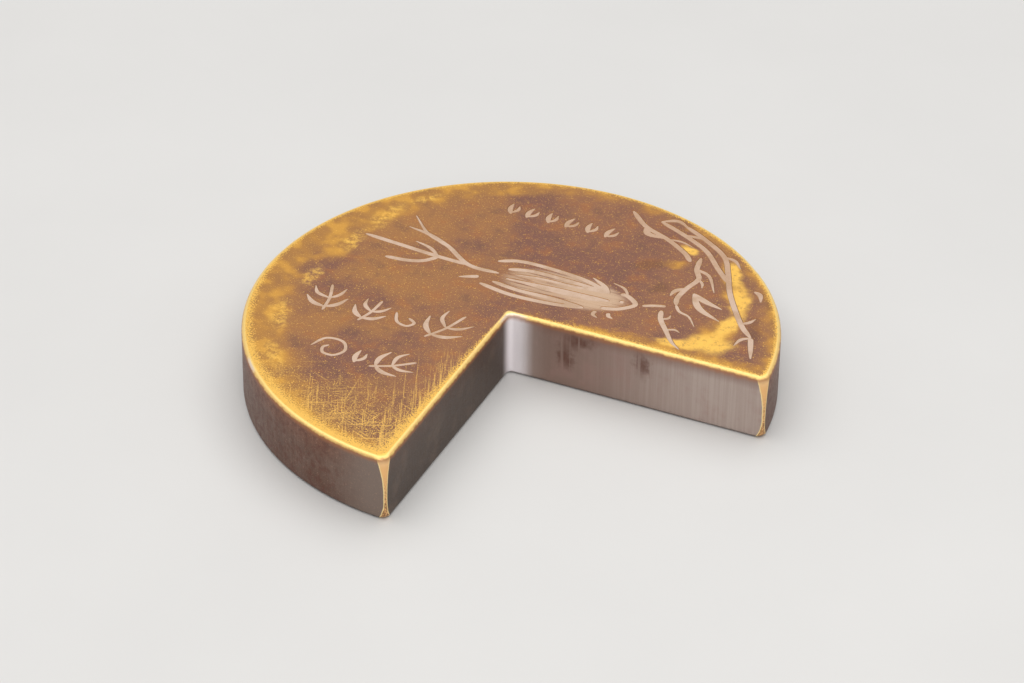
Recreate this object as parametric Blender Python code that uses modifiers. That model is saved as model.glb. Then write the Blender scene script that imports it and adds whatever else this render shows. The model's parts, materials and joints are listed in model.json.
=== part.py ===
"""Calligraphy paperweight: a flat brass disc with one quarter cut out, and a bird, a hanging twig and
rows of small sprigs cut into its top face as grooves that hold a pale infill.

Metres, +Z up. The origin is the disc's centre on its bottom face. The cut-out quarter opens towards
+X and -Y, so the picture stands upright when +Y points away from the reader.
"""

import math

import bpy
import bmesh
from mathutils import Matrix, Vector

MM = 0.001

# The brass body
DISC_DIAMETER = 75.0 * MM
DISC_THICKNESS = 10.0 * MM
NOTCH_WALL_X = -1.0 * MM  # the wall that faces +X
NOTCH_WALL_Y = 1.5 * MM  # the wall that faces -Y
NOTCH_CORNER_RADIUS = 0.8 * MM
TIP_RADIUS = 1.1 * MM  # upright corners where a wall meets the rim
EDGE_RADIUS = 0.6 * MM  # top and bottom edges, all round

# The engraving and its infill
GROOVE_DEPTH = 0.6 * MM
SIDE_CLEARANCE = 0.03 * MM  # between a groove's wall and its infill
FLOOR_CLEARANCE = 0.05 * MM
INFILL_RECESS = 0.05 * MM  # how far the infill lies below the face
CUTTER_RISE = 1.0 * MM  # how far a groove's cutter stands above the face

# Widths of the engraved lines
FINE = 0.5 * MM
MEDIUM = 0.65 * MM
BROAD = 0.82 * MM
LEAF = 1.05 * MM
BACK = 1.5 * MM

# Smoothness
RIM_STEP = math.radians(5)
CORNER_SEGMENTS = 6
EDGE_SEGMENTS = 3
LINE_STEP = 2.2 * MM  # longest stretch of a line between two stations
TURN_STEP = math.radians(24)  # largest turn of a line between two stations
FEWEST_STATIONS = 5

# A line's width along its length, as a share of its full width
END_WIDTH = 0.22
LINE_ROUNDING = 0.08
BRUSH_ROUNDING = 0.08


def line_profile(t):
    """Even width with short rounded ends."""
    return math.sqrt(min(1.0, min(t, 1.0 - t) / LINE_ROUNDING))


def brush_profile(t):
    """A round start that thins to a fine end."""
    return math.sqrt(min(1.0, t / BRUSH_ROUNDING)) * (1.0 - t**3)


def leaf_profile(t):
    """Fine at both ends and widest before the middle."""
    return math.sin(math.pi * t**0.8)


# The drawing. A stroke is its width, its profile, and points that a smooth curve runs through, in
# hundredths of the flat face's radius. Strokes of one figure cross or start on each other, so that
# each figure is one connected groove.
BIRD = {
    "upper_wing": [
        (BROAD, line_profile, [(26, 33), (14, 37.5), (-2, 39.3), (-14, 39), (-22, 35.5)]),
        (BROAD, line_profile, [(26, 33), (10, 34.3), (-6, 34.6), (-16, 32)]),
        (MEDIUM, brush_profile, [(26, 33), (12, 31.6), (-2, 31.2), (-12, 29.6)]),
        (BROAD, leaf_profile, [(26, 33), (22, 37), (16, 40.5)]),
    ],
    "back": [(BACK, leaf_profile, [(28, 28), (18, 26.5), (4, 26.2), (-14, 25.6)])],
    "lower_wing": [
        (BROAD, line_profile, [(21, 19.5), (8, 16.8), (-8, 16), (-22, 18.5)]),
        (BROAD, line_profile, [(21, 19.5), (8, 20.4), (-6, 20), (-18, 21.6)]),
    ],
    "head": [
        (BROAD, line_profile, [(30, 34.5), (33.5, 34), (38, 30), (34, 25), (29.5, 23), (27, 22.6)]),
        (FINE, leaf_profile, [(33.5, 34), (30, 38.5), (24.5, 40.5)]),
    ],
    "eye": [(MEDIUM, line_profile, [(31.8, 29.3), (33.4, 29.5)])],
    "beak": [(MEDIUM, line_profile, [(40.6, 30.4), (45, 32.6), (49, 34)])],
    "front_foot": [(MEDIUM, brush_profile, [(26, 19.6), (26, 17), (28.5, 15.5)])],
    "rear_foot": [(MEDIUM, brush_profile, [(31, 20.2), (32, 18.2), (34, 17.5)])],
    "tail_covert": [(BROAD, brush_profile, [(-24, 22.5), (-27.5, 20.8), (-31, 19)])],
    "tail": [
        (BROAD, brush_profile, [(-18, 27.8), (-31, 28.2), (-44, 37), (-55, 42), (-65, 52)]),
        (BROAD, brush_profile, [(-44, 37), (-54, 41.5), (-64, 43.5)]),
        (BROAD, line_profile, [(-31, 28.2), (-44, 28.6), (-58, 29.8), (-77, 31.5)]),
        (MEDIUM, leaf_profile, [(-44, 28.6), (-50, 33), (-57, 35)]),
        (BROAD, line_profile, [(-44, 28.6), (-48, 23.5), (-54, 21), (-63, 20)]),
    ],
}
TWIG = {
    "branch": [
        (BROAD, line_profile, [(11, 92), (20, 83.5), (31, 78.5), (41, 72), (45.5, 67)]),
        (LEAF, leaf_profile, [(20, 83.5), (23, 78.8), (31, 78.5)]),
        (FINE, leaf_profile, [(31, 78.5), (37, 79), (43, 77)]),
    ],
    "twig": [
        (BROAD, line_profile, [(48.2, 71.5), (49.8, 63), (53, 57), (51.3, 49), (50.6, 41.5), (52, 36.5)]),
        (MEDIUM, brush_profile, [(49.8, 63), (56, 60.5), (62, 50.5)]),
        (FINE, leaf_profile, [(53, 57), (55.5, 54.5), (56.5, 51.5)]),
        (BROAD, leaf_profile, [(51.3, 49), (48, 45.5), (47.5, 41.5)]),
        (FINE, brush_profile, [(52, 36.5), (55, 32.8), (59.5, 31), (64, 25.5)]),
    ],
    "twig_leaves": [
        (LEAF, leaf_profile, [(55, 46.8), (61, 43.5), (69, 41)]),
        (LEAF, leaf_profile, [(55, 46.8), (61, 38), (71, 33)]),
    ],
    "bough": [
        (BROAD, line_profile, [(33, 91), (45, 84.2), (56, 76), (62, 65), (68, 52), (79, 35), (86, 27.5)]),
        (BROAD, line_profile, [(24, 89.5), (36, 84), (48, 77), (57, 67), (64.5, 59)]),
        (BROAD, leaf_profile, [(24, 89.5), (30, 92.5), (36, 89.3)]),
        (MEDIUM, leaf_profile, [(36, 84), (41, 84.5), (45, 84.2)]),
        (MEDIUM, leaf_profile, [(56, 76), (61, 75), (65, 70.5)]),
        (MEDIUM, leaf_profile, [(79, 35), (81.5, 37), (83, 40.5)]),
        (BROAD, brush_profile, [(86, 27.5), (88.5, 21), (91, 14.5)]),
        (MEDIUM, leaf_profile, [(86, 27.5), (83, 25), (82, 20)]),
    ],
    "low_twig": [
        (BROAD, brush_profile, [(48.5, 30.6), (50.5, 25), (55, 19), (60, 12.5), (64.5, 9)]),
        (FINE, leaf_profile, [(50.5, 25), (52.8, 26.6), (53, 29.2)]),
        (FINE, leaf_profile, [(55, 19), (58, 20.5), (60.5, 19.5)]),
    ],
    "outer_leaf": [(BROAD, leaf_profile, [(75.5, 58), (78.5, 56.5), (80.5, 52)])],
}

# The small repeated marks, drawn about their own middle at size 1
SPRIG = [
    (FINE, line_profile, [(0, -1), (0.1, -0.1), (0, 0.9)]),
    (BROAD, leaf_profile, [(0.03, -0.75), (-0.5, -0.5), (-0.85, 0)]),
    (BROAD, leaf_profile, [(0.03, -0.75), (0.5, -0.5), (0.85, 0)]),
    (MEDIUM, leaf_profile, [(0.1, -0.1), (-0.45, 0.2), (-0.65, 0.7)]),
    (MEDIUM, leaf_profile, [(0.1, -0.1), (0.45, 0.2), (0.65, 0.7)]),
]
BUD = [
    (BROAD, leaf_profile, [(0, -1), (-0.2, 0), (0, 1)]),
    (MEDIUM, leaf_profile, [(0, -0.8), (0.6, -0.2), (0.7, 0.6)]),
]
TENDRIL = [(FINE, line_profile, [(-0.9, 0.6), (-0.35, -0.5), (0.55, -0.8), (0.95, -0.2), (0.3, 0.25)])]
CURL_RADII = (0.32, 1.1)
CURL_TURN = math.radians(420)
CURL_POINTS = 8


def curl_point(i):
    """A point on a spiral that opens evenly from its inner radius to its outer one."""
    share = i / (CURL_POINTS - 1)
    radius = CURL_RADII[0] + (CURL_RADII[1] - CURL_RADII[0]) * share
    return (radius * math.cos(CURL_TURN * share), radius * math.sin(CURL_TURN * share))


CURL = [(FINE, line_profile, [curl_point(i) for i in range(CURL_POINTS)])]

# Where each mark stands: its middle, its turn in degrees and its size, in the drawing's units
MARKS = {
    "sprig_1": (SPRIG, (-70, -15), 14, 9.5),
    "sprig_2": (SPRIG, (-51, -16.5), -10, 8.5),
    "tendril": (TENDRIL, (-37, -16.5), 0, 5),
    "sprig_3": (SPRIG, (-20.5, -14), -24, 11),
    "curl": (CURL, (-53, -46), 130, 7.2),
    "low_bud": (BUD, (-41.5, -46.5), 8, 4.2),
    "sprig_4": (SPRIG, (-27, -45.5), -58, 9.5),
}
BUD_ROW_Y = 73
BUD_ROW = ((-33, 14), (-25, -2), (-16.5, 12), (-8, -6), (0.5, 10), (9, -8))  # x and turn of each
BUD_ROW_SIZE = 3.9


def clear_scene():
    for obj in list(bpy.data.objects):
        bpy.data.objects.remove(obj)


def new_collection(name, parent):
    collection = bpy.data.collections.new(name)
    parent.children.link(collection)
    return collection


def metal(name, colour, roughness, metallic):
    material = bpy.data.materials.new(name)
    material.use_nodes = True
    shader = material.node_tree.nodes["Principled BSDF"]
    shader.inputs["Base Color"].default_value = (*colour, 1.0)
    shader.inputs["Roughness"].default_value = roughness
    shader.inputs["Metallic"].default_value = metallic
    material.diffuse_color = (*colour, 1.0)
    return material


def arc(centre, radius, start, end, segments):
    """Points on an arc from one angle to another, both ends included."""
    angles = [start + (end - start) * i / segments for i in range(segments + 1)]
    return [centre + radius * Vector((math.cos(a), math.sin(a))) for a in angles]


def prism(name, outline, bottom, top, collection):
    """A closed mesh with this outline between two heights."""
    curve = bpy.data.curves.new(name, "CURVE")
    curve.dimensions = "2D"
    curve.fill_mode = "BOTH"
    curve.extrude = (top - bottom) / 2
    spline = curve.splines.new("POLY")
    spline.points.add(len(outline) - 1)
    for point, (x, y) in zip(spline.points, outline):
        point.co = (x, y, 0.0, 1.0)
    spline.use_cyclic_u = True
    drawn = bpy.data.objects.new(name + "_outline", curve)
    drawn.matrix_world = Matrix.Translation((0.0, 0.0, (top + bottom) / 2))
    collection.objects.link(drawn)
    bpy.context.view_layer.update()
    evaluated = drawn.evaluated_get(bpy.context.evaluated_depsgraph_get())
    mesh = bpy.data.meshes.new_from_object(evaluated)
    mesh.name = name
    weld = bmesh.new()
    weld.from_mesh(mesh)
    bmesh.ops.remove_doubles(weld, verts=weld.verts, dist=0.001 * MM)
    bmesh.ops.recalc_face_normals(weld, faces=weld.faces)
    weld.to_mesh(mesh)
    weld.free()
    solid = bpy.data.objects.new(name, mesh)
    solid.matrix_world = drawn.matrix_world
    collection.objects.link(solid)
    bpy.data.objects.remove(drawn)
    return solid


def body_outline():
    """Anticlockwise: round the rim to the lower tip, in along one notch wall and out along the other."""
    rim = DISC_DIAMETER / 2
    reach = rim - TIP_RADIUS
    right = Vector((math.sqrt(reach**2 - (NOTCH_WALL_Y + TIP_RADIUS) ** 2), NOTCH_WALL_Y + TIP_RADIUS))
    lower = Vector((NOTCH_WALL_X - TIP_RADIUS, -math.sqrt(reach**2 - (NOTCH_WALL_X - TIP_RADIUS) ** 2)))
    right_angle = math.atan2(right.y, right.x)
    lower_angle = math.atan2(lower.y, lower.x) + 2 * math.pi
    corner = Vector((NOTCH_WALL_X + NOTCH_CORNER_RADIUS, NOTCH_WALL_Y - NOTCH_CORNER_RADIUS))
    steps = round((lower_angle - right_angle) / RIM_STEP)
    points = arc(right, TIP_RADIUS, -math.pi / 2, right_angle, CORNER_SEGMENTS)
    points += arc(Vector((0, 0)), rim, right_angle, lower_angle, steps)[1:-1]
    points += arc(lower, TIP_RADIUS, lower_angle, 2 * math.pi, CORNER_SEGMENTS)
    points += arc(corner, NOTCH_CORNER_RADIUS, math.pi, math.pi / 2, CORNER_SEGMENTS)
    return points


def smooth_point(points, t):
    """The point at t, from 0 to 1, on a Catmull-Rom curve through the points."""
    spans = len(points) - 1
    span = min(int(t * spans), spans - 1)
    f = t * spans - span
    b, c = points[span], points[span + 1]
    a = points[span - 1] if span else 2 * b - c
    d = points[span + 2] if span + 2 <= spans else 2 * c - b
    return (2 * b + (c - a) * f + (2 * a - 5 * b + 4 * c - d) * f**2 + (3 * b - a - 3 * c + d) * f**3) / 2


def direction(points, t):
    step = 0.001
    ahead, behind = smooth_point(points, min(t + step, 1.0)), smooth_point(points, max(t - step, 0.0))
    return (ahead - behind).normalized()


def station_count(points):
    """Enough stations that no stretch of the line is too long or turns too far."""
    probes = 40
    places = [smooth_point(points, i / probes) for i in range(probes + 1)]
    length = sum((b - a).length for a, b in zip(places, places[1:]))
    ways = [(b - a).normalized() for a, b in zip(places, places[1:])]
    turn = sum(a.angle(b) for a, b in zip(ways, ways[1:]))
    return max(FEWEST_STATIONS, round(length / LINE_STEP + turn / TURN_STEP) + 3)


def stroke_outline(width, profile, points, grow):
    """The closed outline of one line of the drawing, made wider and longer by grow on every side."""
    count = station_count(points)
    left, right = [], []
    for i in range(count + 1):
        t = (1 - math.cos(math.pi * i / count)) / 2
        along = direction(points, t)
        across = Vector((-along.y, along.x))
        place = smooth_point(points, t) + along * grow * ((i == count) - (i == 0))
        half = width / 2 * (END_WIDTH + (1 - END_WIDTH) * profile(t)) + grow
        left.append(place + across * half)
        right.append(place - across * half)
    return right + left[::-1]


def drawn_figures():
    """Every figure's strokes in metres: name to a list of width, profile and points."""
    figures = {**BIRD, **TWIG}
    for name, (mark, middle, turn, size) in MARKS.items():
        figures[name] = placed(mark, Vector(middle), turn, size)
    for i, (x, turn) in enumerate(BUD_ROW, 1):
        figures[f"bud_{i}"] = placed(BUD, Vector((x, BUD_ROW_Y)), turn, BUD_ROW_SIZE)
    unit = (DISC_DIAMETER / 2 - EDGE_RADIUS) / 100
    return {
        name: [
            (width, profile, [unit * Vector(point) for point in points])
            for width, profile, points in strokes
        ]
        for name, strokes in figures.items()
    }


def placed(mark, middle, turn, size):
    """A mark's strokes turned, sized and moved to their place in the drawing."""
    spin = Matrix.Rotation(math.radians(turn), 2)
    return [
        (width, profile, [middle + size * (spin @ Vector(point)) for point in points])
        for width, profile, points in mark
    ]


def boolean(obj, operation, collection):
    modifier = obj.modifiers.new(operation.lower(), "BOOLEAN")
    modifier.operation = operation
    modifier.solver = "EXACT"
    modifier.operand_type = "COLLECTION"
    modifier.collection = collection


def make_guide(obj):
    obj.hide_render = True
    obj.display_type = "WIRE"


def figure_solid(name, strokes, grow, bottom, top, collection, guides, joins):
    """One figure of the drawing as one solid: its first stroke, which is later joined with its others."""
    first, *others = strokes
    solid = prism(name, stroke_outline(*first, grow), bottom, top, collection)
    if others:
        strokes_to_join = new_collection(name + "_strokes", guides)
        for i, stroke in enumerate(others, 2):
            outline = stroke_outline(*stroke, grow)
            make_guide(prism(f"{name}_stroke_{i}", outline, bottom, top, strokes_to_join))
        joins.append((solid, strokes_to_join))
    return solid


def make_figure(name, strokes, material, parts, grooves, guides, joins):
    """A figure's infill, and the cutter of its groove, which is wider, deeper and stands above the face."""
    floor = DISC_THICKNESS - GROOVE_DEPTH
    sunk = DISC_THICKNESS - INFILL_RECESS
    above = DISC_THICKNESS + CUTTER_RISE
    infill = figure_solid(name, strokes, 0.0, floor + FLOOR_CLEARANCE, sunk, parts, guides, joins)
    infill.data.materials.append(material)
    groove = name + "_groove"
    make_guide(figure_solid(groove, strokes, SIDE_CLEARANCE, floor, above, grooves, guides, joins))


def make_body(material, parts):
    body = prism("body", body_outline(), 0.0, DISC_THICKNESS, parts)
    body.data.materials.append(material)
    rounding = body.modifiers.new("rounded_edges", "BEVEL")
    rounding.width = EDGE_RADIUS
    rounding.segments = EDGE_SEGMENTS
    rounding.limit_method = "ANGLE"
    rounding.angle_limit = math.radians(60)
    for face in body.data.polygons:
        face.use_smooth = abs(face.normal.z) < 0.5
    return body


def main():
    clear_scene()
    root = bpy.context.scene.collection
    parts = new_collection("calligraphy_paperweight", root)
    guides = new_collection("cutters", root)
    grooves = new_collection("grooves", guides)
    brass = metal("brown_brass", (0.30, 0.155, 0.075), 0.42, 0.9)
    pale = metal("pale_infill", (0.66, 0.50, 0.39), 0.55, 0.3)
    joins = []
    for name, strokes in drawn_figures().items():
        make_figure(name, strokes, pale, parts, grooves, guides, joins)
    body = make_body(brass, parts)
    for solid, strokes_to_join in joins:
        boolean(solid, "UNION", strokes_to_join)
    boolean(body, "DIFFERENCE", grooves)


main()
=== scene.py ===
import json
import math

import bmesh
import bpy
from mathutils import Matrix, Vector, noise

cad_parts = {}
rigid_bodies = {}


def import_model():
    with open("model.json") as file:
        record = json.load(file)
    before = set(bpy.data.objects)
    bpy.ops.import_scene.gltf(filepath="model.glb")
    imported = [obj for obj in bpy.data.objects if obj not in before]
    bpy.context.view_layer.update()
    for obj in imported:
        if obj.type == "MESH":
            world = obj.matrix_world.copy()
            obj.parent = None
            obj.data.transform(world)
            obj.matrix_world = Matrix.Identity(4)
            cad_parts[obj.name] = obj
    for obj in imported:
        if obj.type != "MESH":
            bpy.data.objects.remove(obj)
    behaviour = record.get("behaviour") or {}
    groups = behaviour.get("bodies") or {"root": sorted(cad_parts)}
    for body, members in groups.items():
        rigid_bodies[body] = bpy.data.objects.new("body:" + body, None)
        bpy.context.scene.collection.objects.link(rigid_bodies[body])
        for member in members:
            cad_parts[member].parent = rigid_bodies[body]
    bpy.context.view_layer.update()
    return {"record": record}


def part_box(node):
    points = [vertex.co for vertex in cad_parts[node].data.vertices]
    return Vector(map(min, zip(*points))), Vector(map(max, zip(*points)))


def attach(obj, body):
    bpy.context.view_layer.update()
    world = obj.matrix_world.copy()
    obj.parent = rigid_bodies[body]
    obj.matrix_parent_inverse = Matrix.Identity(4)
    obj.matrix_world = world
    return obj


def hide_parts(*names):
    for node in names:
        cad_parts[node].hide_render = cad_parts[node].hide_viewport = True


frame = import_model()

# ------------------------------------------------------------------------------------------------
# The brass blank
# A disc of brass plate with one quarter sawn out. The two sawn walls are milled square, which leaves
# fine upright tool marks, and a small round stays in the inner corner. All edges are filed round, and
# the two outer corners are filed to a narrow flat that years of handling have widened at its ends.
# ------------------------------------------------------------------------------------------------
MM = 0.001
places = {mount["name"]: Vector(mount["pos_m"]) for mount in frame["record"]["mounts"]}
body_low, body_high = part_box("body")
THICKNESS = body_high.z
RIM = round(-body_low.x, 4)
WALL_X = places["notch_side_wall"].x
WALL_Y = places["notch_long_wall"].y
INNER_ROUND = 0.8 * MM
EDGE_ROUND = 0.6 * MM
EDGE_UNEVENNESS = 0.08 * MM
LUMP_LENGTH = 5 * MM  # from one lump of a hand-filed edge to the next
CORNER_FLAT = 0.3 * MM  # how far the filed flat cuts back from the sharp corner, at half height
CORNER_TOP = 1.1 * MM  # how much further it cuts back at the top
CORNER_TOP_FROM = 4.0 * MM  # the height where it starts to widen towards the top
CORNER_FOOT = 0.9 * MM  # how much further it cuts back at the foot
CORNER_FOOT_TO = 3.0 * MM  # the height where it has stopped widening towards the foot
CORNER_BULGE = 0.22
TOOL_MARK_PITCH = 0.8 * MM
TOOL_MARK_DEPTH = 0.006 * MM
TOOL_SWELL_LENGTH = 9 * MM
TOOL_SWELL_HEIGHT = 20 * MM
RIM_STATIONS = 300
LONG_WALL_STATIONS = 240
SIDE_WALL_STATIONS = 140
FLAT_STATIONS = 8
ROUND_STATIONS = 10
EDGE_STATIONS = 7
WALL_LEVELS = 14


def corner_cut(z):
    """How far the filed flat of an outer corner cuts back at this height."""
    top = max(0.0, (z - CORNER_TOP_FROM) / (THICKNESS - CORNER_TOP_FROM))
    foot = max(0.0, (CORNER_FOOT_TO - z) / CORNER_FOOT_TO)
    return CORNER_FLAT + CORNER_TOP * top**2 + CORNER_FOOT * foot**2


def tool_mark(along, across):
    """The depth of the milling marks on a sawn wall."""
    place = Vector((along / TOOL_SWELL_LENGTH, across / TOOL_SWELL_HEIGHT, 0.0))
    swell = 0.6 + 0.8 * noise.noise(place)
    return TOOL_MARK_DEPTH * swell * math.sin(2 * math.pi * along / TOOL_MARK_PITCH)


def filed_corner(start, sharp, end):
    """The filed flat between two walls: nearly straight, and a little proud towards the lost corner."""
    middle = (start + end) / 2
    pull = middle + (sharp - middle) * 2 * CORNER_BULGE
    steps = [i / FLAT_STATIONS for i in range(FLAT_STATIONS + 1)]
    return [start * (1 - t) ** 2 + pull * 2 * t * (1 - t) + end * t**2 for t in steps]


def on_circle(radius, angle):
    return radius * Vector((math.cos(angle), math.sin(angle)))


def blank_loop(z, inset):
    """The blank's outline at one height, anticlockwise from the corner by the long wall."""
    cut = corner_cut(z)
    rim = RIM - inset
    x_wall, y_wall = WALL_X - inset, WALL_Y + inset
    right = Vector((math.sqrt(rim**2 - y_wall**2), y_wall))
    lower = Vector((x_wall, -math.sqrt(rim**2 - x_wall**2)))
    first = math.atan2(right.y, right.x) + cut / rim
    last = math.atan2(lower.y, lower.x) + 2 * math.pi - cut / rim
    points = filed_corner(right - Vector((cut, 0.0)), right, on_circle(rim, first))
    for i in range(1, RIM_STATIONS):
        points.append(on_circle(rim, first + (last - first) * i / RIM_STATIONS))
    points += filed_corner(on_circle(rim, last), lower, lower + Vector((0.0, cut)))
    centre = Vector((WALL_X + INNER_ROUND, WALL_Y - INNER_ROUND))
    start = lower.y + cut
    for i in range(1, SIDE_WALL_STATIONS):
        y = start + (centre.y - start) * i / SIDE_WALL_STATIONS
        points.append(Vector((x_wall + tool_mark(y, z), y)))
    for i in range(ROUND_STATIONS + 1):
        angle = math.pi - math.pi / 2 * i / ROUND_STATIONS
        points.append(centre + on_circle(INNER_ROUND + inset, angle))
    end = right.x - cut
    for i in range(1, LONG_WALL_STATIONS):
        x = centre.x + (end - centre.x) * i / LONG_WALL_STATIONS
        points.append(Vector((x, y_wall + tool_mark(x, z))))
    return points


def blank_levels():
    """Heights and insets from the bottom face up: a rounded edge, the wall and a rounded edge."""
    turns = [math.pi / 2 * i / EDGE_STATIONS for i in range(EDGE_STATIONS + 1)]
    edge = [(EDGE_ROUND * (1 - math.cos(a)), EDGE_ROUND * (1 - math.sin(a))) for a in turns]
    span = THICKNESS - 2 * EDGE_ROUND
    wall = [(EDGE_ROUND + span * i / WALL_LEVELS, 0.0) for i in range(1, WALL_LEVELS)]
    return edge + wall + [(THICKNESS - z, inset) for z, inset in reversed(edge)]


def worn(point, z, inset):
    """A point of a rounded edge moved in or out a little, because the edge was filed by hand."""
    lump = noise.noise(Vector((point.x, point.y, 3.0 if z > THICKNESS / 2 else 9.0)) / LUMP_LENGTH)
    share = inset / EDGE_ROUND
    return point * (1 - EDGE_UNEVENNESS / RIM * lump * share)


def skin(name, loops, smooth):
    """A closed mesh through loops of equally many points, the first and the last capped."""
    made = bmesh.new()
    rings = [[made.verts.new(point) for point in loop] for loop in loops]
    for lower, upper in zip(rings, rings[1:]):
        for i, corner in enumerate(lower):
            made.faces.new((lower[i - 1], corner, upper[i], upper[i - 1])).smooth = smooth
    made.faces.new(rings[0][::-1])
    made.faces.new(rings[-1])
    bmesh.ops.recalc_face_normals(made, faces=made.faces)
    mesh = bpy.data.meshes.new(name)
    made.to_mesh(mesh)
    made.free()
    piece = bpy.data.objects.new(name, mesh)
    bpy.context.scene.collection.objects.link(piece)
    return piece


blank_loops = []
for z, inset in blank_levels():
    loop = [worn(point, z, inset) for point in blank_loop(z, inset)]
    blank_loops.append([(point.x, point.y, z) for point in loop])
brass_body = skin("brass_body", blank_loops, True)

# ------------------------------------------------------------------------------------------------
# The drawing
# A long-tailed bird, a twig that hangs in from the rim, and three short rows of small marks. Each
# line is cut with a graver: it starts and ends in a point or a round, and swells between. A stroke is
# its width, its kind, and points in hundredths of the flat face's radius.
# ------------------------------------------------------------------------------------------------
FINE = 0.5 * MM
MEDIUM = 0.65 * MM
BROAD = 0.82 * MM
LEAF = 1.05 * MM
BACK = 1.5 * MM
FACE_UNIT = (RIM - EDGE_ROUND) / 100
END_WIDTH = 0.22  # a stroke's width at its very ends, as a share of its full width
END_ROUND = 0.08  # how much of a stroke's length a round end takes


def line(t):
    """Even width with short rounded ends."""
    return math.sqrt(min(1.0, min(t, 1.0 - t) / END_ROUND))


def brush(t):
    """A round start that thins to a fine end."""
    return math.sqrt(min(1.0, t / END_ROUND)) * (1.0 - t**3)


def leaf(t):
    """Fine at both ends and widest before the middle."""
    return math.sin(math.pi * t**0.8)


figures = {
    "upper_wing": [
        (BROAD, line, [(26, 33), (14, 37.5), (-2, 39.3), (-14, 39), (-22, 35.5)]),
        (BROAD, line, [(26, 33), (10, 34.3), (-6, 34.6), (-16, 32)]),
        (MEDIUM, brush, [(26, 33), (12, 31.6), (-2, 31.2), (-12, 29.6)]),
        (BROAD, leaf, [(26, 33), (22, 37), (16, 40.5)]),
    ],
    "back": [(BACK, leaf, [(28, 28), (18, 26.5), (4, 26.2), (-14, 25.6)])],
    "lower_wing": [
        (BROAD, line, [(21, 19.5), (8, 16.8), (-8, 16), (-22, 18.5)]),
        (BROAD, line, [(21, 19.5), (8, 20.4), (-6, 20), (-18, 21.6)]),
    ],
    "head": [
        (BROAD, line, [(30, 34.5), (33.5, 34), (38, 30), (34, 25), (29.5, 23), (27, 22.6)]),
        (FINE, leaf, [(33.5, 34), (30, 38.5), (24.5, 40.5)]),
    ],
    "eye": [(MEDIUM, line, [(31.8, 29.3), (33.4, 29.5)])],
    "beak": [(MEDIUM, line, [(40.6, 30.4), (45, 32.6), (49, 34)])],
    "front_foot": [(MEDIUM, brush, [(26, 19.6), (26, 17), (28.5, 15.5)])],
    "rear_foot": [(MEDIUM, brush, [(31, 20.2), (32, 18.2), (34, 17.5)])],
    "tail_covert": [(BROAD, brush, [(-24, 22.5), (-27.5, 20.8), (-31, 19)])],
    "tail": [
        (BROAD, brush, [(-18, 27.8), (-31, 28.2), (-44, 37), (-55, 42), (-65, 52)]),
        (BROAD, brush, [(-44, 37), (-54, 41.5), (-64, 43.5)]),
        (BROAD, line, [(-31, 28.2), (-44, 28.6), (-58, 29.8), (-77, 31.5)]),
        (MEDIUM, leaf, [(-44, 28.6), (-50, 33), (-57, 35)]),
        (BROAD, line, [(-44, 28.6), (-48, 23.5), (-54, 21), (-63, 20)]),
    ],
    "branch": [
        (BROAD, line, [(11, 92), (20, 83.5), (31, 78.5), (41, 72), (45.5, 67)]),
        (LEAF, leaf, [(20, 83.5), (23, 78.8), (31, 78.5)]),
        (FINE, leaf, [(31, 78.5), (37, 79), (43, 77)]),
    ],
    "twig": [
        (BROAD, line, [(48.2, 71.5), (49.8, 63), (53, 57), (51.3, 49), (50.6, 41.5), (52, 36.5)]),
        (MEDIUM, brush, [(49.8, 63), (56, 60.5), (62, 50.5)]),
        (FINE, leaf, [(53, 57), (55.5, 54.5), (56.5, 51.5)]),
        (BROAD, leaf, [(51.3, 49), (48, 45.5), (47.5, 41.5)]),
        (FINE, brush, [(52, 36.5), (55, 32.8), (59.5, 31), (64, 25.5)]),
    ],
    "twig_leaves": [
        (LEAF, leaf, [(55, 46.8), (61, 43.5), (69, 41)]),
        (LEAF, leaf, [(55, 46.8), (61, 38), (71, 33)]),
    ],
    "bough": [
        (BROAD, line, [(33, 91), (45, 84.2), (56, 76), (62, 65), (68, 52), (79, 35), (86, 27.5)]),
        (BROAD, line, [(24, 89.5), (36, 84), (48, 77), (57, 67), (64.5, 59)]),
        (BROAD, leaf, [(24, 89.5), (30, 92.5), (36, 89.3)]),
        (MEDIUM, leaf, [(36, 84), (41, 84.5), (45, 84.2)]),
        (MEDIUM, leaf, [(56, 76), (61, 75), (65, 70.5)]),
        (MEDIUM, leaf, [(79, 35), (81.5, 37), (83, 40.5)]),
        (BROAD, brush, [(86, 27.5), (88.5, 21), (91, 14.5)]),
        (MEDIUM, leaf, [(86, 27.5), (83, 25), (82, 20)]),
    ],
    "low_twig": [
        (BROAD, brush, [(48.5, 30.6), (50.5, 25), (55, 19), (60, 12.5), (64.5, 9)]),
        (FINE, leaf, [(50.5, 25), (52.8, 26.6), (53, 29.2)]),
        (FINE, leaf, [(55, 19), (58, 20.5), (60.5, 19.5)]),
    ],
    "outer_leaf": [(BROAD, leaf, [(75.5, 58), (78.5, 56.5), (80.5, 52)])],
}

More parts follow.
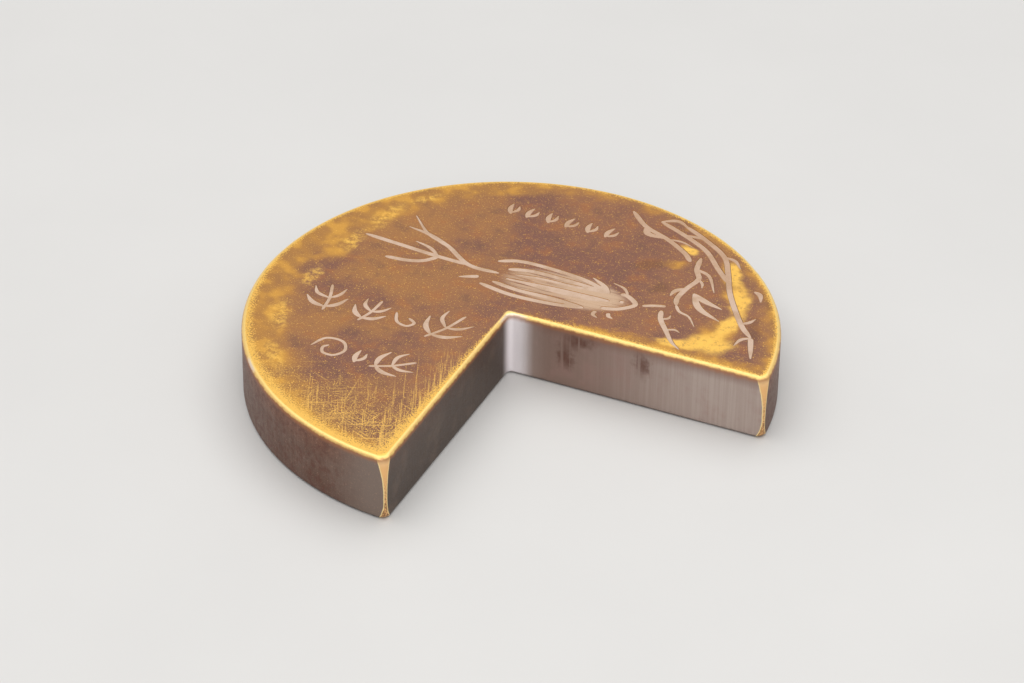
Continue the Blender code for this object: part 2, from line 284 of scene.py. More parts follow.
# The small marks, drawn about their own middle at size 1
SPRIG = [
    (FINE, line, [(0, -1), (0.1, -0.1), (0, 0.9)]),
    (BROAD, leaf, [(0.03, -0.75), (-0.5, -0.5), (-0.85, 0)]),
    (BROAD, leaf, [(0.03, -0.75), (0.5, -0.5), (0.85, 0)]),
    (MEDIUM, leaf, [(0.1, -0.1), (-0.45, 0.2), (-0.65, 0.7)]),
    (MEDIUM, leaf, [(0.1, -0.1), (0.45, 0.2), (0.65, 0.7)]),
]
BUD = [
    (BROAD, leaf, [(0, -1), (-0.2, 0), (0, 1)]),
    (MEDIUM, leaf, [(0, -0.8), (0.6, -0.2), (0.7, 0.6)]),
]
TENDRIL = [(FINE, line, [(-0.9, 0.6), (-0.35, -0.5), (0.55, -0.8), (0.95, -0.2), (0.3, 0.25)])]
CURL_POINTS = 8
CURL_START = 0.32
CURL_OPENING = 0.78
CURL_TURN = math.radians(420)
curl_shares = [i / (CURL_POINTS - 1) for i in range(CURL_POINTS)]
CURL = [(FINE, line, [on_circle(CURL_START + CURL_OPENING * t, CURL_TURN * t) for t in curl_shares])]

# Each mark's strokes, its middle, its turn in degrees and its size
marks = {
    "sprig_1": (SPRIG, (-70, -15), 14, 9.5),
    "sprig_2": (SPRIG, (-51, -16.5), -10, 8.5),
    "tendril": (TENDRIL, (-37, -16.5), 0, 5),
    "sprig_3": (SPRIG, (-20.5, -14), -24, 11),
    "curl": (CURL, (-53, -46), 130, 7.2),
    "low_bud": (BUD, (-41.5, -46.5), 8, 4.2),
    "sprig_4": (SPRIG, (-27, -45.5), -58, 9.5),
}
BUD_ROW_Y = 73
BUD_ROW_SIZE = 3.9
bud_row = ((-33, 14), (-25, -2), (-16.5, 12), (-8, -6), (0.5, 10), (9, -8))  # x and turn of each
for number, (x, turn) in enumerate(bud_row, 1):
    marks[f"bud_{number}"] = (BUD, (x, BUD_ROW_Y), turn, BUD_ROW_SIZE)
for name, (strokes, middle, turn, size) in marks.items():
    spin = Matrix.Rotation(math.radians(turn), 2)
    figures[name] = [
        (width, kind, [Vector(middle) + size * (spin @ Vector(point)) for point in points])
        for width, kind, points in strokes
    ]

STATION_STEP = 0.7 * MM  # longest stretch of a stroke between two stations
STATION_TURN = math.radians(9)  # largest turn of a stroke between two stations
FEWEST_STATIONS = 10
SPARE_STATIONS = 4
PROBES = 60
HEADING_STEP = 0.001


def on_curve(points, t):
    """The place at t, from 0 to 1, on a smooth curve through the points."""
    spans = len(points) - 1
    span = min(int(t * spans), spans - 1)
    f = t * spans - span
    b, c = points[span], points[span + 1]
    a = points[span - 1] if span else 2 * b - c
    d = points[span + 2] if span + 2 <= spans else 2 * c - b
    return (2 * b + (c - a) * f + (2 * a - 5 * b + 4 * c - d) * f**2 + (3 * b - a - 3 * c + d) * f**3) / 2


def way(points, t):
    """The direction of the curve at t."""
    ahead = on_curve(points, min(t + HEADING_STEP, 1.0))
    behind = on_curve(points, max(t - HEADING_STEP, 0.0))
    return (ahead - behind).normalized()


def stations(points):
    """Enough stations that no stretch is long or turns far."""
    probed = [on_curve(points, i / PROBES) for i in range(PROBES + 1)]
    length = sum((b - a).length for a, b in zip(probed, probed[1:]))
    ways = [(b - a).normalized() for a, b in zip(probed, probed[1:])]
    turn = sum(a.angle(b) for a, b in zip(ways, ways[1:]))
    needed = round(length / STATION_STEP + turn / STATION_TURN) + SPARE_STATIONS
    return max(FEWEST_STATIONS, needed)


def stroke_loop(stroke, grow, z):
    """A stroke's outline at one height, wider and longer by grow on every side."""
    width, kind, drawn = stroke
    points = [FACE_UNIT * Vector(point) for point in drawn]
    count = stations(points)
    left, right = [], []
    for i in range(count + 1):
        t = (1 - math.cos(math.pi * i / count)) / 2
        along = way(points, t)
        across = Vector((-along.y, along.x))
        place = on_curve(points, t) + along * grow * ((i == count) - (i == 0))
        half = width / 2 * (END_WIDTH + (1 - END_WIDTH) * kind(t)) + grow
        left.append(place + across * half)
        right.append(place - across * half)
    return [(point.x, point.y, z) for point in right + left[::-1]]


def joined(name, pieces):
    """Several overlapping solids as one: the first, united with the others."""
    first, *others = pieces
    if others:
        group = bpy.data.collections.new(name)
        for other in others:
            group.objects.link(other)
        union = first.modifiers.new("union", "BOOLEAN")
        union.operation = "UNION"
        union.solver = "MANIFOLD"
        union.operand_type = "COLLECTION"
        union.collection = group
    bpy.context.view_layer.update()
    depsgraph = bpy.context.evaluated_depsgraph_get()
    mesh = bpy.data.meshes.new_from_object(first.evaluated_get(depsgraph))
    for piece in pieces:
        bpy.data.objects.remove(piece)
    whole = bpy.data.objects.new(name, mesh)
    bpy.context.scene.collection.objects.link(whole)
    return whole


def figure_solid(name, strokes, section):
    """A figure's strokes, each skinned through the section's heights and growths, as one solid."""
    pieces = []
    for number, stroke in enumerate(strokes):
        loops = [stroke_loop(stroke, grow, z) for z, grow in section]
        pieces.append(skin(f"{name}_{number}", loops, False))
    return joined(name, pieces)


# ------------------------------------------------------------------------------------------------
# The grooves
# The graver leaves a flat-bottomed groove 0.6 mm deep. Its lip is slightly broken where the burr was
# rubbed off, which leaves a hair of bright brass round every line.
# ------------------------------------------------------------------------------------------------
GROOVE_DEPTH = 0.6 * MM
GROOVE_GROW = 0.03 * MM
LIP = 0.07 * MM
GRAVER_RISE = 1.0 * MM  # how far the cutter stands above the face
GRAVER_SLOPE = 0.08  # how far it widens to each side over that rise, on top of the lip

groove_section = (
    (THICKNESS - GROOVE_DEPTH, GROOVE_GROW),
    (THICKNESS - LIP, GROOVE_GROW),
    (THICKNESS + GRAVER_RISE, GROOVE_GROW + LIP + GRAVER_RISE * GRAVER_SLOPE),
)
graver_cuts = bpy.data.collections.new("graver_cuts")
for name, strokes in figures.items():
    graver_cuts.objects.link(figure_solid(name + "_cut", strokes, groove_section))
engraving = brass_body.modifiers.new("engraving", "BOOLEAN")
engraving.operation = "DIFFERENCE"
engraving.solver = "MANIFOLD"
engraving.operand_type = "COLLECTION"
engraving.collection = graver_cuts
bpy.context.view_layer.update()
depsgraph = bpy.context.evaluated_depsgraph_get()
engraved = bpy.data.meshes.new_from_object(brass_body.evaluated_get(depsgraph))
brass_body.modifiers.clear()
brass_body.data = engraved
for cut in list(graver_cuts.objects):
    bpy.data.objects.remove(cut)
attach(brass_body, "root")
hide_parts("body")

# ------------------------------------------------------------------------------------------------
# The brass finish
# The brass has darkened to a cloudy brown. Handling has rubbed it back to orange and then to bright
# gold along every upper edge, in patches inside the rim and in fine scratches near the lower corner.
# The sides stay dark, with upright tool marks and stains on the long wall; painted shade darkens the side
# wall and the foot.
# ------------------------------------------------------------------------------------------------


def shade(red, green, blue):
    """A colour given as it is seen, in 0 to 255, as the shader's linear colour."""
    parts = [c / 255 for c in (red, green, blue)]
    linear = [c / 12.92 if c <= 0.04045 else ((c + 0.055) / 1.055) ** 2.4 for c in parts]
    return (*linear, 1.0)


SPOT_HEIGHT = 400.0  # so tall that only a place's x and y decide how far it is from a spot


class Finish:
    """A finish in the making. Each method adds a node and gives its output."""

    def __init__(self, name):
        self.material = bpy.data.materials.new(name)
        self.material.use_nodes = True
        self.tree = self.material.node_tree
        self.shader = self.tree.nodes["Principled BSDF"]
        object_place = self.add("ShaderNodeTexCoord", {}, "Object")
        self.place = self.add("ShaderNodeVectorMath", {0: object_place, 3: 1 / MM}, operation="SCALE")

    def put(self, socket, value):
        """Links another node's output to a socket, or sets the socket to a constant."""
        if isinstance(value, bpy.types.NodeSocket):
            self.tree.links.new(value, socket)
        else:
            socket.default_value = value

    def add(self, kind, inputs, output=0, **settings):
        made = self.tree.nodes.new(kind)
        for key, value in settings.items():
            setattr(made, key, value)
        for key, value in inputs.items():
            self.put(made.inputs[key], value)
        return made.outputs[output]

    def sum(self, a, b):
        return self.add("ShaderNodeMath", {0: a, 1: b}, operation="ADD")

    def less(self, a, b):
        return self.add("ShaderNodeMath", {0: a, 1: b}, operation="SUBTRACT")

    def times(self, a, b):
        return self.add("ShaderNodeMath", {0: a, 1: b}, operation="MULTIPLY")

    def power(self, a, b):
        return self.add("ShaderNodeMath", {0: a, 1: b}, operation="POWER")

    def largest(self, a, b):
        return self.add("ShaderNodeMath", {0: a, 1: b}, operation="MAXIMUM")

    def smallest(self, a, b):
        return self.add("ShaderNodeMath", {0: a, 1: b}, operation="MINIMUM")

    def size(self, a):
        return self.add("ShaderNodeMath", {0: a}, operation="ABSOLUTE")

    def fade(self, value, start, end):
        """0 where the value is at start, 1 where it is at end, smooth between."""
        inputs = {"Value": value, "From Min": start, "From Max": end}
        return self.add("ShaderNodeMapRange", inputs, interpolation_type="SMOOTHSTEP")

    def either(self, a, b):
        """How much of one mask or the other: 1 - (1 - a)(1 - b)."""
        return self.less(1.0, self.times(self.less(1.0, a), self.less(1.0, b)))

    def length(self, x, y):
        """The distance from 0 of a place in the plane."""
        flat = self.add("ShaderNodeCombineXYZ", {0: x, 1: y})
        return self.add("ShaderNodeVectorMath", {0: flat}, "Value", operation="LENGTH")

    def cloud(self, scale, detail=3.0, roughness=0.55, where=None, output="Fac"):
        """Noise with its scale in features per millimetre."""
        inputs = {"Vector": where or self.place, "Scale": scale, "Detail": detail, "Roughness": roughness}
        return self.add("ShaderNodeTexNoise", inputs, output)

    def local(self, where, middle, turn, long, wide):
        """Places measured from the middle of a long shape, in halves of its length and width."""
        inputs = {
            "Vector": where,
            "Location": (*middle, THICKNESS / MM),
            "Rotation": (0.0, 0.0, math.radians(turn)),
            "Scale": (long, wide, SPOT_HEIGHT),
        }
        return self.add("ShaderNodeMapping", inputs, vector_type="TEXTURE")

    def patch(self, where, middle, turn, long, wide, soft):
        """A long soft-edged spot: 1 in its middle, 0 outside its length and width."""
        from_middle = self.local(where, middle, turn, long, wide)
        reach = self.add("ShaderNodeVectorMath", {0: from_middle}, "Value", operation="LENGTH")
        return self.fade(reach, 1.0, 1.0 - soft)

    def streaks(self, turn, along, across, upright=0.05, detail=2.0):
        """Noise drawn out in one direction, with its scales in features per millimetre."""
        inputs = {"Vector": self.place, "Rotation": (0.0, 0.0, math.radians(turn))}
        turned = self.add("ShaderNodeMapping", inputs, vector_type="TEXTURE")
        inputs = {0: turned, 1: (along, across, upright)}
        drawn_out = self.add("ShaderNodeVectorMath", inputs, operation="MULTIPLY")
        return self.cloud(1.0, detail, 0.6, drawn_out)

    def tint(self, share, under, over):
        """One colour laid over another by a share from 0 to 1."""
        inputs = {0: share, 6: under, 7: over}
        return self.add("ShaderNodeMix", inputs, 2, data_type="RGBA")

    def tints(self, under, layers):
        """Colours laid over each other: a list of how much and which colour."""
        for share, over in layers:
            under = self.tint(share, under, over)
        return under

    def finish(self, colour, roughness, metallic, height, depth):
        """Sets the surface: height is its relief, from 0 to 1, and depth is how deep that is in metres."""
        inputs = {"Height": height, "Distance": depth, "Strength": 1.0}
        relief = self.add("ShaderNodeBump", inputs)
        for key, value in {
            "Base Color": colour,
            "Roughness": roughness,
            "Metallic": metallic,
            "Normal": relief,
        }.items():
            self.put(self.shader.inputs[key], value)
        return self.material


brass = Finish("worn_brass")
x, y, z = [brass.add("ShaderNodeSeparateXYZ", {0: brass.place}, axis) for axis in "XYZ"]
wall_x, wall_y, thickness = WALL_X / MM, WALL_Y / MM, THICKNESS / MM

# Distances in the plane: from the rim, and from the sawn quarter
rim_gap = brass.less(RIM / MM, brass.length(x, y))
notch_gap = brass.length(
    brass.largest(brass.less(wall_x, x), 0.0), brass.largest(brass.less(y, wall_y), 0.0)
)
clouds = brass.cloud(0.085, 4.0)
patches = brass.cloud(0.3, 4.0)
mottle = brass.cloud(1.1, 3.0, 0.6)
grain = brass.cloud(5.0, 2.0, 0.7)
flecks = brass.cloud(3.8, 4.0, 0.85)
soft_clouds = brass.cloud(0.3, 1.5)
warp = brass.cloud(0.4, 2.0, output="Color")
warp = brass.add("ShaderNodeVectorMath", {0: warp, 1: (0.5, 0.5, 0.5)}, operation="SUBTRACT")
warp = brass.add("ShaderNodeVectorMath", {0: warp, 3: 2.2}, operation="SCALE")
warped = brass.add("ShaderNodeVectorMath", {0: brass.place, 1: warp}, operation="ADD")


def spots(where, soft, shapes):
    """Listed soft spots in one mask. A shape: its middle, turn, half its length, half its width."""
    mask = 0.0
    for middle, turn, long, wide in shapes:
        mask = brass.either(mask, brass.patch(where, middle, turn, long, wide, soft))
    return mask


# The top face: cloudy brown, orange where it is thin, dark where it pooled
yellow_share = brass.times(brass.fade(x, 6.0, -24.0), brass.fade(clouds, 0.66, 0.42))
brown = brass.tints(shade(142, 94, 67), [
    (brass.fade(clouds, 0.4, 0.6), shade(126, 82, 66)),
    (brass.times(yellow_share, 0.7), shade(168, 116, 58)),
    (brass.times(brass.fade(patches, 0.5, 0.7), 0.5), shade(166, 102, 50)),
    (brass.times(brass.fade(patches, 0.48, 0.28), 0.5), shade(112, 76, 60)),
    (brass.times(brass.fade(mottle, 0.5, 0.75), 0.3), shade(176, 124, 72)),
    (brass.times(brass.fade(grain, 0.52, 0.2), 0.35), shade(88, 58, 44)),
])
dark_stains = spots(warped, 0.7, (
    ((12.0, 21.5), 35, 3.4, 2.0),
    ((15.5, 16.5), 60, 2.4, 1.6),
    ((31.0, 19.0), -62, 8.0, 0.9),
    ((31.5, 12.0), -70, 4.5, 1.6),
))
brown = brass.tint(brass.times(dark_stains, 0.5), brown, shade(104, 66, 40))
corner_share = brass.times(brass.fade(y, -16.0, -33.0), brass.fade(x, -33.0, -22.0))
brown = brass.tint(brass.times(corner_share, 0.5), brown, shade(118, 76, 54))

# Where it is rubbed thin: inside the rim, widest on the left, and along the long wall
left_share = brass.fade(x, 4.0, -30.0)
thin_width = brass.sum(brass.times(left_share, 3.8), brass.times(brass.less(soft_clouds, 0.5), 3.6))
thin_rim = brass.fade(brass.less(rim_gap, thin_width), 4.0, -1.0)
thin_width = brass.sum(
    brass.times(brass.fade(x, 2.0, 20.0), 1.9), brass.times(brass.less(mottle, 0.45), 3.0)
)
thin_wall = brass.fade(brass.less(brass.less(y, wall_y), thin_width), 1.4, -0.3)
thin_wall = brass.times(thin_wall, brass.fade(x, wall_x, 1.0))
thin_spots = spots(warped, 0.8, (
    ((-28.0, 17.0), 76, 7.5, 2.6),
    ((-30.0, 7.0), 88, 6.0, 2.6),
    ((-31.0, -14.0), 108, 6.5, 2.8),
    ((-26.5, -21.5), 136, 6.0, 2.6),
    ((15.0, 23.0), 20, 2.6, 1.8),
    ((25.0, 21.0), -58, 8.5, 2.6),
    ((27.0, 8.0), 80, 7.0, 4.0),
    ((-14.0, 31.5), 18, 7.0, 1.8),
))
thin = brass.either(brass.either(thin_rim, thin_wall), thin_spots)
thin = brass.times(thin, brass.sum(0.7, brass.times(brass.fade(soft_clouds, 0.3, 0.6), 0.3)))

# Where it is rubbed through to bright brass, in patches
left_bright = spots(warped, 1.0, (
    ((-27.8, 17.3), 78, 6.4, 2.0),
    ((-29.2, 9.0), 90, 4.4, 1.8),
    ((-30.2, -1.5), 85, 4.0, 1.4),
    ((-29.6, -12.5), 112, 5.6, 2.2),
    ((-26.0, -21.5), 130, 5.0, 2.0),
    ((-24.5, 24.0), 52, 3.4, 1.2),
))
bright = spots(warped, 1.0, (
    ((23.6, 24.0), -62, 5.0, 2.0),
    ((27.0, 18.0), -66, 5.6, 2.3),
    ((27.8, 11.5), 84, 5.0, 2.0),
    ((27.2, 6.4), 12, 5.0, 3.4),
    ((22.8, 4.6), 8, 4.2, 1.6),
    ((15.6, 27.4), -30, 2.2, 1.2),
))
specks = brass.sum(mottle, flecks)
left_bright = brass.times(brass.times(left_bright, brass.fade(specks, 0.84, 1.16)), 0.85)
bright = brass.times(brass.fade(bright, 0.0, 0.75), brass.fade(specks, 0.6, 1.04))
bright = brass.either(bright, left_bright)

# Where the edges are rubbed through: a gold band that breaks up into specks on its inner side
dissolve = brass.sum(
    brass.times(brass.less(flecks, 0.5), 5.5), brass.times(brass.less(mottle, 0.5), 0.9)
)
low_share = brass.fade(y, 10.0, -30.0)
rim_band = brass.fade(rim_gap, brass.sum(1.4, brass.times(low_share, 1.5)), 0.45)
side_share = brass.fade(y, -4.0, -32.0)
inner_gap = brass.length(brass.less(x, wall_x), brass.less(y, wall_y))
notch_width = brass.sum(brass.times(brass.fade(inner_gap, 1.0, 10.0), 1.0), brass.times(side_share, 1.2))
notch_band = brass.fade(notch_gap, brass.sum(0.6, notch_width), 0.3)
edge_level = brass.sum(brass.either(rim_band, notch_band), brass.times(corner_share, 0.27))
edge_wear = brass.fade(brass.sum(edge_level, dissolve), 0.5, 0.75)
# A paler line right at the edge: partly rubbed bare brass, partly a painted highlight along the rounded
# edge.
worn_edge_and_highlight = brass.times(brass.fade(brass.smallest(rim_gap, notch_gap), 0.7, 0.4), 0.8)

# Fine scratches, most of them towards the lower corner and along the side wall
near_side = brass.times(brass.fade(notch_gap, 7.0, 0.0), brass.fade(y, -3.0, -18.0))
rubbed = brass.either(corner_share, brass.times(near_side, 0.9))
scratches = 0.0
for turn, along, across, least in (
    (114, 0.15, 5.0, 0.64),
    (98, 0.12, 5.0, 0.69),
    (24, 0.12, 5.0, 0.65),
    (160, 0.14, 5.0, 0.69),
    (35, 0.16, 5.0, 0.69),
    (72, 0.18, 5.5, 0.69),
):
    scored = brass.sum(brass.streaks(turn, along, across), brass.times(rubbed, 0.07))
    scratches = brass.either(scratches, brass.fade(scored, least, least + 0.06))
scratches = brass.times(scratches, brass.sum(0.06, brass.times(rubbed, 0.85)))
scratches = brass.times(scratches, brass.fade(flecks, 0.36, 0.5))
spikes = brass.sum(brass.streaks(114, 0.3, 9.0), brass.times(near_side, 0.14))
spikes = brass.times(brass.fade(spikes, 0.64, 0.74), brass.times(near_side, 0.8))
scratches = brass.either(scratches, spikes)
long_scratches = spots(brass.place, 0.8, (
    ((-5.5, -19.0), 112, 8.5, 0.08),
    ((-6.9, -19.6), 113, 7.5, 0.07),
    ((-3.8, -15.0), 111, 5.0, 0.06),
    ((-9.4, -26.0), 112, 4.6, 0.07),
    ((-18.4, -25.4), 114, 3.6, 0.08),
    ((-13.0, -24.6), 32, 5.0, 0.05),
    ((-10.0, -29.5), 150, 2.6, 0.06),
    ((-7.0, -30.8), 96, 3.4, 0.07),
))
long_scratches = brass.times(long_scratches, brass.fade(flecks, 0.3, 0.6))
scratches = brass.either(scratches, brass.times(long_scratches, 0.75))

top = brass.tints(brown, [
    (brass.times(thin, 0.85), shade(178, 125, 50)),
    (brass.times(scratches, 0.85), shade(246, 194, 96)),
    (brass.times(brass.power(thin, 2.0), brass.fade(soft_clouds, 0.45, 0.65)), shade(204, 148, 56)),
    (brass.times(bright, 0.95), shade(255, 202, 90)),
    (edge_wear, shade(246, 194, 90)),
    (worn_edge_and_highlight, shade(255, 222, 140)),
])

# The bird's ground: fine pale hatching between its lines
hatch = brass.fade(brass.streaks(2, 0.12, 2.4, detail=3.0), 0.36, 0.52)
ground = brass.patch(brass.place, (3.6, 10.3), 1, 10.4, 4.6, 0.3)
breast = brass.patch(brass.place, (7.6, 10.4), 0, 5.4, 3.7, 0.45)
ground_share = brass.either(
    brass.times(brass.times(ground, hatch), 0.8),
    brass.times(breast, brass.times(brass.fade(flecks, 0.3, 0.5), 0.85)),
)
top = brass.tint(ground_share, top, shade(200, 168, 138))

# The sides
on_wall = brass.fade(notch_gap, 0.5, 0.2)
past_corner = brass.less(brass.less(x, wall_x), brass.less(wall_y, y))
on_long_wall = brass.fade(past_corner, -1.2, 1.2)
from_inner_corner = brass.sum(brass.less(x, wall_x), brass.less(wall_y, y))
upright = brass.streaks(0, 2.4, 2.4)
near_top = brass.fade(z, 5.5, 9.2)
rim_side = brass.tints(shade(106, 74, 58), [
    (brass.fade(patches, 0.4, 0.7), shade(118, 90, 76)),
    (brass.times(near_top, 0.6), shade(136, 82, 56)),
    (brass.times(brass.fade(mottle, 0.46, 0.62), 0.7), shade(102, 58, 44)),
    (brass.times(brass.fade(upright, 0.48, 0.66), 0.22), shade(134, 106, 92)),
    (brass.times(brass.fade(upright, 0.48, 0.3), 0.25), shade(84, 58, 46)),
    (brass.times(brass.fade(grain, 0.5, 0.3), 0.6), shade(78, 58, 50)),
    # A painted reflection: a soft grey patch on the rim side near the lower corner.
    (brass.times(brass.fade(y, -30.0, -37.0), brass.fade(x, -12.0, -3.0)), shade(130, 112, 101)),
    (brass.times(brass.fade(flecks, 0.56, 0.68), 0.5), shade(188, 152, 126)),
])
long_wall = brass.tints(shade(142, 116, 104), [
    # A painted reflection: lighter and greyer towards the long wall's outer end.
    (brass.times(brass.fade(x, 8.0, 30.0), 0.8), shade(184, 166, 156)),
    (brass.times(brass.fade(patches, 0.45, 0.75), 0.5), shade(158, 124, 114)),
    (brass.times(brass.fade(upright, 0.4, 0.7), brass.fade(x, 4.0, 60.0)), shade(194, 178, 168)),
    (brass.times(brass.fade(z, 7.6, 9.4), 0.55), shade(128, 90, 74)),
])
wall_stains = ((7.6, 5.2, 1.5, 3.0), (9.8, 8.2, 2.4, 1.3), (19.2, 7.2, 1.5, 2.2))  # x, z, half sizes
for middle, height, long, tall in wall_stains:
    across = brass.less(x, brass.sum(middle, brass.times(brass.less(mottle, 0.5), 3.0)))
    above = brass.less(z, brass.sum(height, brass.times(brass.less(patches, 0.5), 4.0)))
    stain = brass.length(brass.times(across, 1 / long), brass.times(above, 1 / tall))
    stain = brass.times(brass.fade(stain, 1.3, 0.1), brass.fade(upright, 0.3, 0.55))
    long_wall = brass.tint(brass.times(stain, 0.85), long_wall, shade(100, 60, 46))
# The side wall is painted darker than the long wall, as painted shade: both are the same milled brass.
side_wall = brass.tints(shade(78, 63, 53), [
    (brass.fade(patches, 0.45, 0.7), shade(96, 78, 66)),
    (brass.times(near_top, 0.4), shade(100, 70, 56)),
    (brass.times(brass.fade(grain, 0.54, 0.74), 0.5), shade(138, 114, 100)),
    (brass.times(brass.fade(mottle, 0.5, 0.32), 0.5), shade(62, 48, 40)),
])
walls = brass.tint(on_long_wall, side_wall, long_wall)
# A painted highlight on the sawn walls by the inner corner: near white close to it, paler all round.
fillet_highlight = brass.fade(brass.size(brass.less(past_corner, 0.8)), 3.2, 0.4)
fillet_highlight_edge = brass.times(brass.fade(past_corner, 6.5, 1.0), brass.fade(past_corner, -1.0, 0.5))
walls = brass.tints(walls, [
    (brass.times(fillet_highlight_edge, 0.5), shade(206, 190, 182)),
    (fillet_highlight, shade(255, 248, 250)),
])
sides = brass.tint(on_wall, rim_side, walls)
# Darker towards the foot of the sides: painted shade where the lower edge turns under towards the table.
foot = brass.fade(brass.sum(z, brass.times(mottle, 0.6)), 0.9, 0.35)
sides = brass.tint(brass.times(foot, 0.7), sides, shade(84, 64, 54))

# The filed flats of the two outer corners
rise = brass.less(z, CORNER_TOP_FROM / MM)
rise = brass.power(brass.largest(brass.times(rise, MM / (THICKNESS - CORNER_TOP_FROM)), 0.0), 2.0)
dip = brass.less(CORNER_FOOT_TO / MM, z)
dip = brass.power(brass.largest(brass.times(dip, MM / CORNER_FOOT_TO), 0.0), 2.0)
cut_back = brass.sum(CORNER_FLAT / MM, brass.times(rise, CORNER_TOP / MM))
cut_back = brass.sum(cut_back, brass.times(dip, CORNER_FOOT / MM))
sharp_corners = (
    Vector((math.sqrt(RIM**2 - WALL_Y**2), WALL_Y)),
    Vector((WALL_X, -math.sqrt(RIM**2 - WALL_X**2))),
)
from_corners = [
    brass.length(brass.less(x, corner.x / MM), brass.less(y, corner.y / MM)) for corner in sharp_corners
]
reach = brass.smallest(*from_corners)
reach = brass.less(brass.sum(reach, brass.times(brass.less(mottle, 0.5), 0.16)), cut_back)
flat = brass.fade(reach, 0.12, 0.0)
# A painted glint along the edges of the filed flats.
flat_edge_glint = brass.fade(brass.size(brass.less(reach, 0.02)), 0.12, 0.02)
flat_wear = brass.times(brass.fade(flecks, 0.44, 0.56), brass.fade(z, 8.0, 1.5))
flat_colour = brass.tint(flat_wear, shade(244, 190, 126), shade(132, 88, 54))
# A painted highlight: the flats turn whitish towards their tops.
flat_colour = brass.tint(brass.times(brass.fade(z, 8.0, 9.8), 0.6), flat_colour, shade(255, 220, 168))
sides = brass.tints(sides, [(flat, flat_colour), (flat_edge_glint, shade(255, 226, 160))])

# A band of bare brass runs just under the upper edge and fades to orange below
ragged = brass.sum(z, brass.times(brass.less(mottle, 0.5), 0.5))
bare = brass.fade(ragged, thickness - 0.5, thickness - 0.15)
under_band = brass.times(brass.fade(ragged, thickness - 1.2, thickness - 0.3), 0.75)
sides = brass.tint(under_band, sides, shade(178, 114, 66))
# Near the inner corner the band turns nearly white: a painted highlight.
inner_corner = brass.fade(brass.size(from_inner_corner), 3.2, 1.2)
band = brass.tint(brass.times(inner_corner, 0.75), shade(255, 214, 130), shade(250, 232, 216))
on_top = brass.fade(z, thickness - 0.12, thickness - 0.02)
under_colour = brass.tint(brass.fade(patches, 0.4, 0.65), shade(146, 106, 80), shade(164, 120, 84))
body_colour = brass.tints(sides, [
    (bare, band),
    (on_top, top),
    (brass.fade(z, 0.05, 0.01), under_colour),
])

rubbed_top = brass.either(brass.either(edge_wear, bright), brass.times(scratches, 0.6))
bare_share = brass.either(brass.times(bare, brass.less(1.0, on_top)), flat)
bare_share = brass.either(bare_share, brass.times(on_top, rubbed_top))
body_metallic = brass.sum(0.25, brass.times(bare_share, 0.2))
body_roughness = brass.less(0.5, brass.times(bare_share, 0.12))
body_roughness = brass.sum(body_roughness, brass.times(brass.less(mottle, 0.5), 0.25))
relief = brass.sum(brass.times(grain, 0.35), brass.times(patches, 0.5))
relief = brass.less(relief, brass.times(brass.either(scratches, edge_wear), 0.3))
brass_body.data.materials.clear()
brass_body.data.materials.append(
    brass.finish(body_colour, body_roughness, body_metallic, relief, 0.02 * MM)
)

# Fresh brass in the grooves
graver_brass = Finish("graver_brass")
graver_grain = graver_brass.cloud(2.0)
brass_body.data.materials.append(
    graver_brass.finish(
        graver_brass.tint(graver_grain, shade(214, 160, 84), shade(240, 196, 120)),
        graver_brass.sum(0.28, graver_brass.times(graver_grain, 0.2)),
        0.9,
        graver_brass.streaks(20, 0.5, 6.0),
        0.01 * MM,
    )
)
BODY_SLOT = 0
GROOVE_SLOT = 1
CORNER_REACH = 3.5 * MM  # no groove comes this near to a corner
FACE_SLACK = 0.001 * MM
for face in brass_body.data.polygons:
    middle = face.center
    from_rim = RIM - math.hypot(middle.x, middle.y)
    from_notch = math.hypot(max(WALL_X - middle.x, 0.0), max(middle.y - WALL_Y, 0.0))
    from_corner = min((middle.xy - corner).length for corner in sharp_corners)
    inside = min(from_rim, from_notch) > EDGE_ROUND + EDGE_UNEVENNESS and from_corner > CORNER_REACH
    in_groove = inside and THICKNESS / 2 < middle.z < THICKNESS - FACE_SLACK
    face.material_index = GROOVE_SLOT if in_groove else BODY_SLOT
    face.use_smooth = not inside

# ------------------------------------------------------------------------------------------------
# The pale infill
# Each figure's grooves are filled with one run of pale pinkish paste, pressed in and wiped, so it
# lies a hair below the face with softened edges. It has dried matt and a little patchy.
# ------------------------------------------------------------------------------------------------
FLOOR_GAP = 0.05 * MM
INFILL_RECESS = 0.03 * MM
SHOULDER = 0.05 * MM  # the softened edge of the infill

infill_section = (
    (THICKNESS - GROOVE_DEPTH + FLOOR_GAP, 0.0),
    (THICKNESS - INFILL_RECESS - SHOULDER, 0.0),
    (THICKNESS - INFILL_RECESS - SHOULDER * 0.3, -0.25 * SHOULDER),
    (THICKNESS - INFILL_RECESS, -0.8 * SHOULDER),
)
paste = Finish("pale_paste")
paste_far = paste.add("ShaderNodeSeparateXYZ", {0: paste.place}, "Y")
paste_clouds = paste.cloud(0.35, 4.0)
paste_grain = paste.cloud(7.0, 3.0, 0.7)
paste_colour = paste.tints(shade(200, 172, 150), [
    (paste.fade(paste_clouds, 0.4, 0.65), shade(186, 154, 126)),
    (paste.times(paste.fade(paste_far, 16.0, 28.0), 0.5), shade(178, 138, 104)),
    (paste.times(paste.fade(paste_grain, 0.55, 0.75), 0.5), shade(224, 198, 180)),
    (paste.times(paste.fade(paste_grain, 0.45, 0.25), 0.6), shade(160, 116, 80)),
])
paste_finish = paste.finish(
    paste_colour,
    paste.sum(0.58, paste.times(paste_grain, 0.2)),
    paste.times(paste.fade(paste_clouds, 0.3, 0.8), 0.15),
    paste_grain,
    0.02 * MM,
)
for name, strokes in figures.items():
    infill = figure_solid(name + "_paste", strokes, infill_section)
    infill.data.materials.clear()
    infill.data.materials.append(paste_finish)
    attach(infill, "root")
    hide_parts(name)

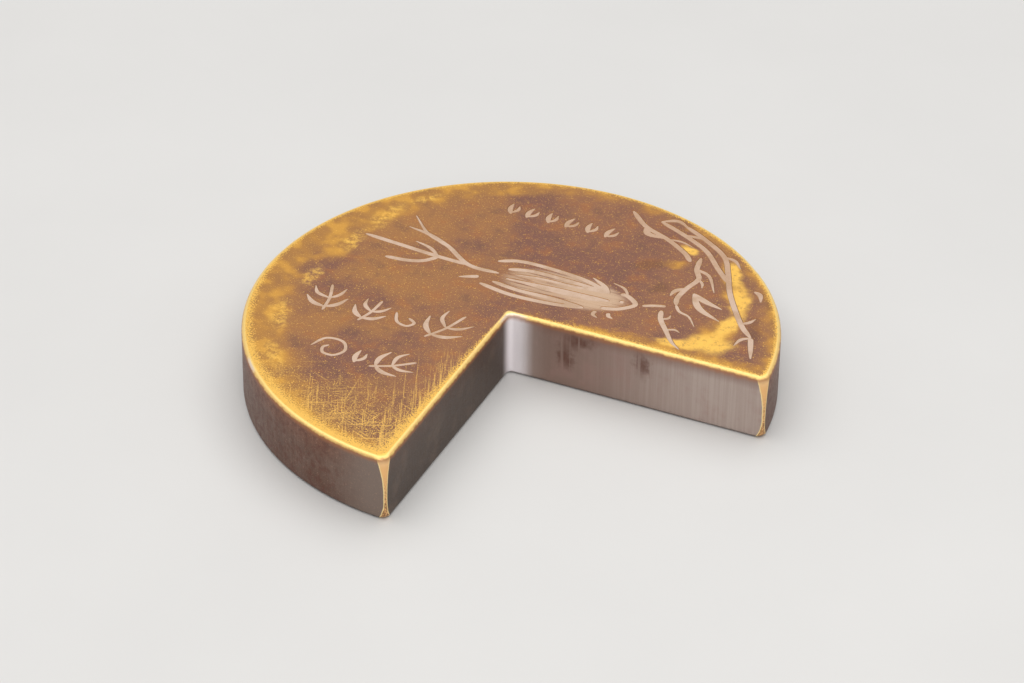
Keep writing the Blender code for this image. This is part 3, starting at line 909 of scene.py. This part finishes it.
# ------------------------------------------------------------------------------------------------
# The table and the light
# A plain pale table top, a wide soft light overhead, a small weak one in front and a pale room.
# ------------------------------------------------------------------------------------------------
TABLE_HALF = 4.0
TABLE_THICKNESS = 0.02
DAYLIGHT = 0.45
table_corners = [(TABLE_HALF * i, TABLE_HALF * j) for i, j in ((-1, -1), (1, -1), (1, 1), (-1, 1))]
table_loops = [[(*corner, height) for corner in table_corners] for height in (-TABLE_THICKNESS, 0.0)]
table = skin("table", table_loops, False)
paper = Finish("pale_table")
paper_grain = paper.cloud(0.02, 4.0)
table.data.materials.append(
    paper.finish(
        paper.tint(paper_grain, shade(206, 205, 203), shade(214, 213, 211)),
        0.55,
        0.0,
        paper.cloud(1.5),
        0.01 * MM,
    )
)


def soft_light(name, place, width, height, power, colour):
    """A rectangular soft light that faces the object."""
    lamp = bpy.data.lights.new(name, "AREA")
    lamp.shape = "RECTANGLE"
    lamp.size = width
    lamp.size_y = height
    lamp.energy = power
    lamp.color = colour
    stand = bpy.data.objects.new(name, lamp)
    stand.location = place
    stand.rotation_euler = (-Vector(place)).to_track_quat("-Z", "Y").to_euler()
    bpy.context.scene.collection.objects.link(stand)


soft_light("main_light", (-0.05, 0.05, 0.8), 1.4, 1.4, 9.4, (1.0, 0.98, 0.95))
soft_light("front_light", (0.3, -0.6, 0.5), 0.4, 0.3, 1.4, (1.0, 0.98, 0.96))
room = bpy.data.worlds.new("pale_room")
room.use_nodes = True
room.node_tree.nodes["Background"].inputs["Color"].default_value = (0.82, 0.84, 0.88, 1.0)
room.node_tree.nodes["Background"].inputs["Strength"].default_value = DAYLIGHT
bpy.context.scene.world = room
bpy.context.scene.view_settings.view_transform = "Standard"

# ------------------------------------------------------------------------------------------------
# The camera
# It looks down on the open quarter from the front right, with a long lens.
# ------------------------------------------------------------------------------------------------
FOCAL_LENGTH = 126.5
SENSOR_WIDTH = 36.0
CAMERA_PLACE = (0.1712273, -0.3807084, 0.2862896)
CAMERA_HEADING = math.radians(24.2)
CAMERA_DIP = math.radians(33.84)
CAMERA_ROLL = math.radians(0.722)

lens = bpy.data.cameras.new("camera")
lens.lens = FOCAL_LENGTH
lens.sensor_width = SENSOR_WIDTH
lens.clip_start = 0.01
camera = bpy.data.objects.new("camera", lens)
heading = Matrix.Rotation(CAMERA_HEADING, 4, "Z")
tilt = Matrix.Rotation(math.pi / 2 - CAMERA_DIP, 4, "X")
roll = Matrix.Rotation(CAMERA_ROLL, 4, "Z")
camera.matrix_world = Matrix.Translation(CAMERA_PLACE) @ heading @ tilt @ roll
bpy.context.scene.collection.objects.link(camera)
bpy.context.scene.camera = camera
